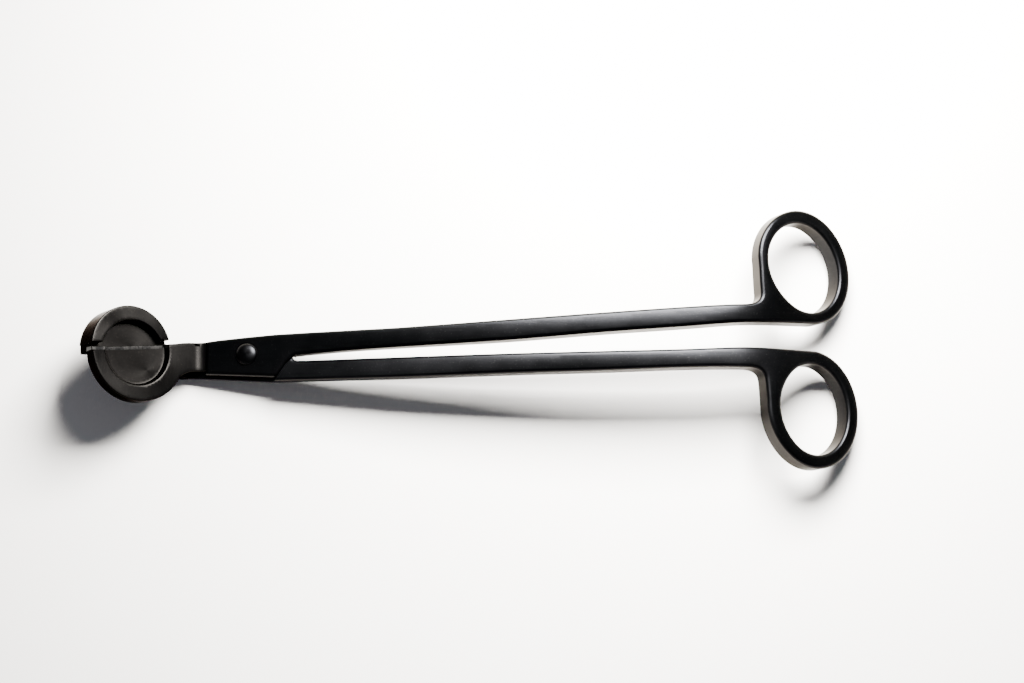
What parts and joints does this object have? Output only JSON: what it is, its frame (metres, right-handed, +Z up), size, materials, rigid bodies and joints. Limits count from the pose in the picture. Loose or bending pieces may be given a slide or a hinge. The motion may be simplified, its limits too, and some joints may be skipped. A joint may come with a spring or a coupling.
{
  "type": "wick trimmer",
  "caption": "Scissor-type candle wick trimmer: long arched arms crossed at a riveted lap joint, finger rings, and a bent-up half-round blade over a rimmed catch.",
  "frame": {"origin": "middle of the trimmer's outline, on the surface it lies on", "axes": "+X along the arms to the finger rings, +Y to the ring of the top lever, +Z up"},
  "size_m": [0.1762, 0.0596, 0.0201],
  "materials": {
    "black_lever": "satin black coating on steel",
    "black_jaw": "black-plated, brushed",
    "black_rivet": "satin black",
    "plain_washer": "dark turned steel"
  },
  "bodies": {
    "lower_half": {"bottom_lever": "black_lever", "catch_plate": "black_jaw", "catch_rim": "black_jaw", "rivet": "black_rivet", "pivot_washer": "plain_washer", "pivot_collar": "black_rivet"},
    "upper_half": {"top_lever": "black_lever", "dished_blade": "black_jaw"}
  },
  "joints": [
    {"name": "pivot", "type": "hinge", "parent": "lower_half", "child": "upper_half", "pos_m": [-0.05083, -0.00304, 0.0025], "axis": [-0.1603, 0.0228, 0.9868], "range_deg": [-1.5, 28]}
  ]
}
